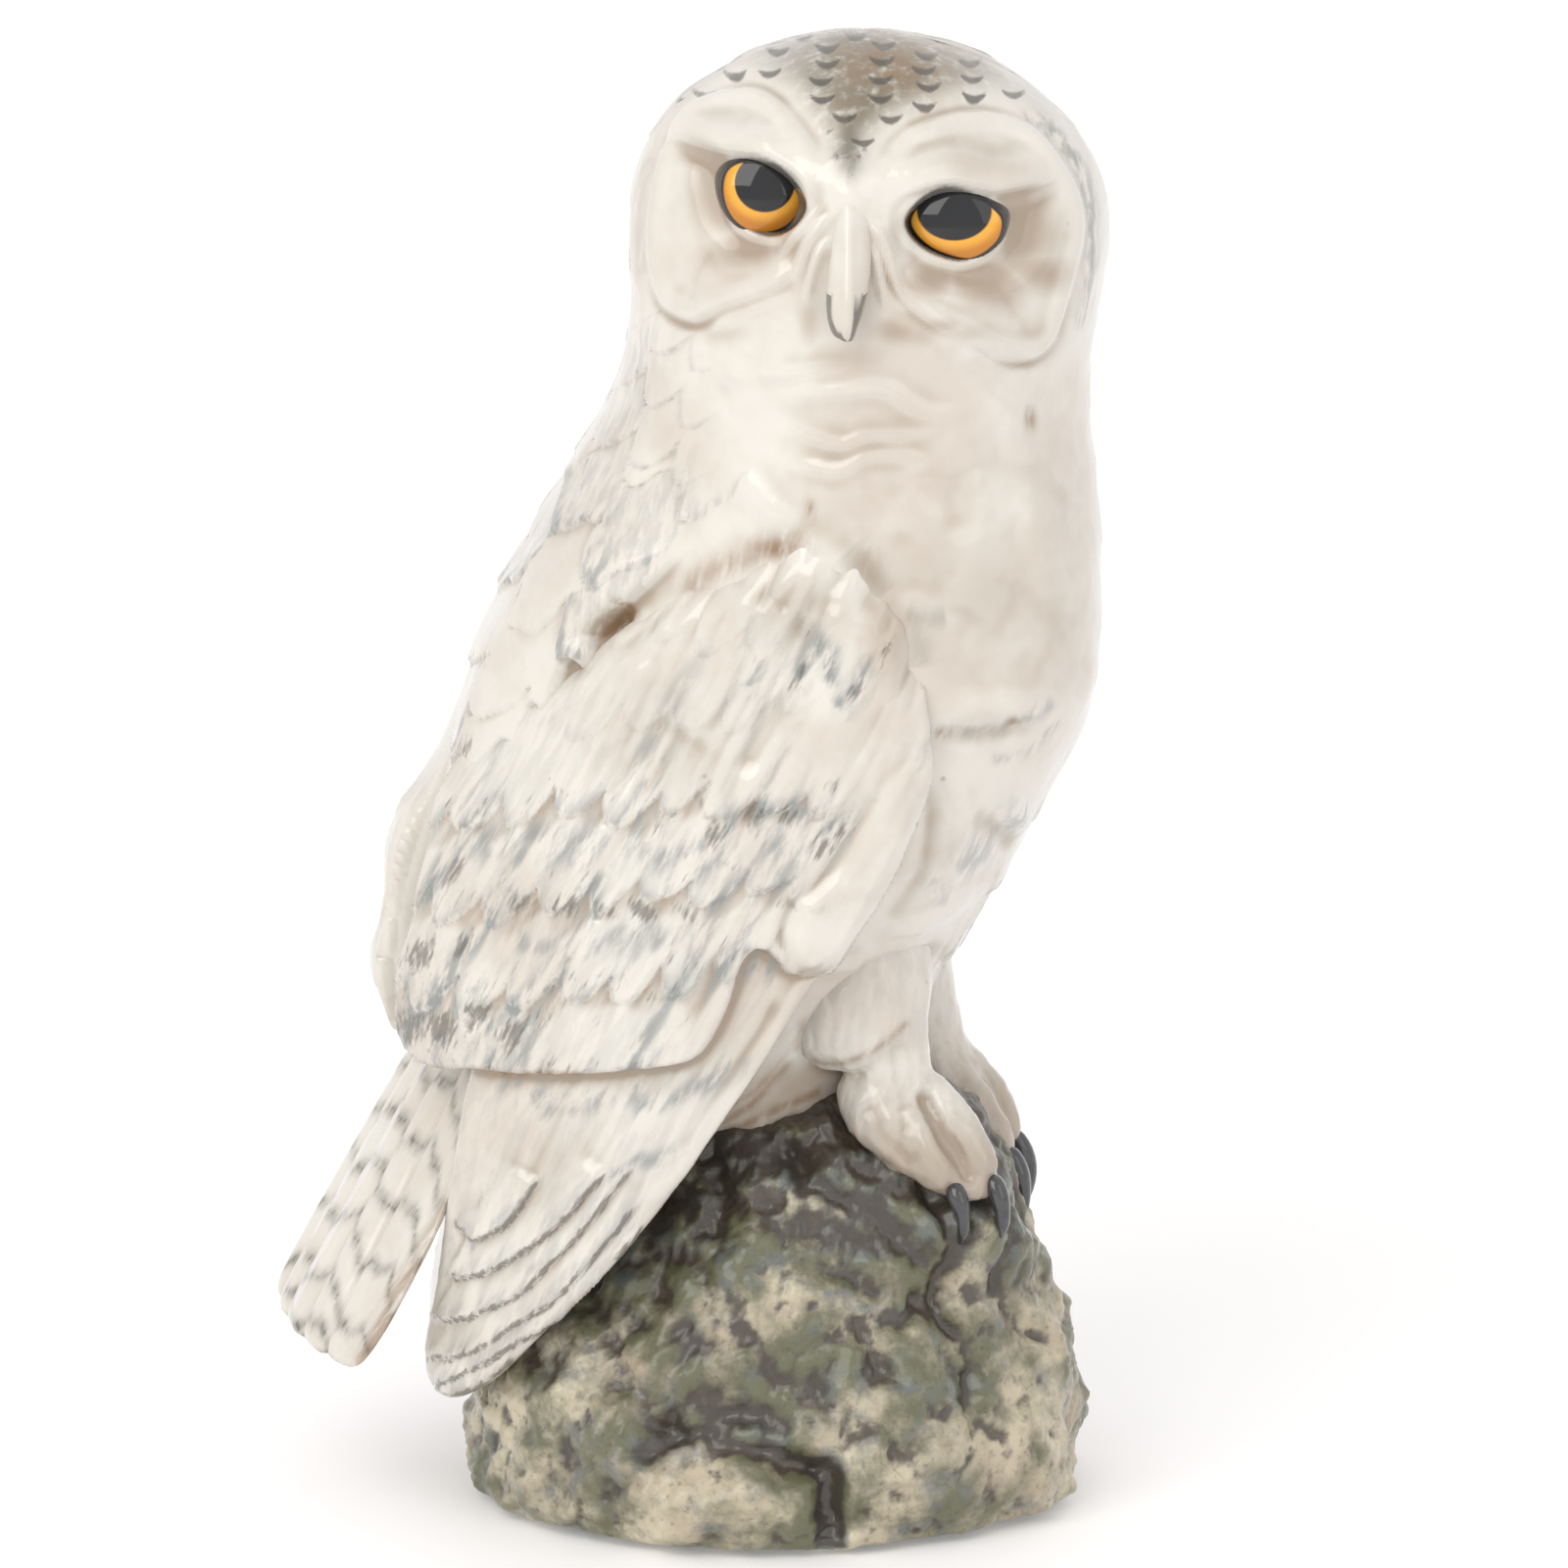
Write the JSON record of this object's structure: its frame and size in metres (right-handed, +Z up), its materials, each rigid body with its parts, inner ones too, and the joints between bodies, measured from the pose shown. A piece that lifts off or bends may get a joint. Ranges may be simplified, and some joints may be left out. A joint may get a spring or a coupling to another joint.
{
  "type": "owl figurine",
  "caption": "Glazed ceramic snowy owl standing on a rock, hollow cast, with folded wings, a fan tail and glossy amber eyes.",
  "frame": {"origin": "middle of the rock's flat underside", "axes": "+Z up along the figure's height, -Y the way the face looks, +X the way the breast points"},
  "size_m": [0.0919, 0.0588, 0.165],
  "materials": {
    "plumage_glaze": "clear gloss over creamy white, with grey-brown brushed feather marks",
    "rock_glaze": "gloss, mottled cream, moss green, slate blue and brown-black",
    "talon_glaze": "gloss, blue-black",
    "beak_glaze": "gloss, off-white with grey lines",
    "eye_glaze": "high gloss, black pupil over an amber iris"
  },
  "bodies": {
    "root": {"rock_base": "rock_glaze", "torso": "plumage_glaze", "head": "plumage_glaze", "right_wing": "plumage_glaze", "left_wing": "plumage_glaze", "tail": "plumage_glaze", "right_leg": "plumage_glaze", "left_leg": "plumage_glaze", "right_talons": "talon_glaze", "left_talons": "talon_glaze", "beak": "beak_glaze", "right_eye": "eye_glaze", "left_eye": "eye_glaze"}
  },
  "joints": []
}
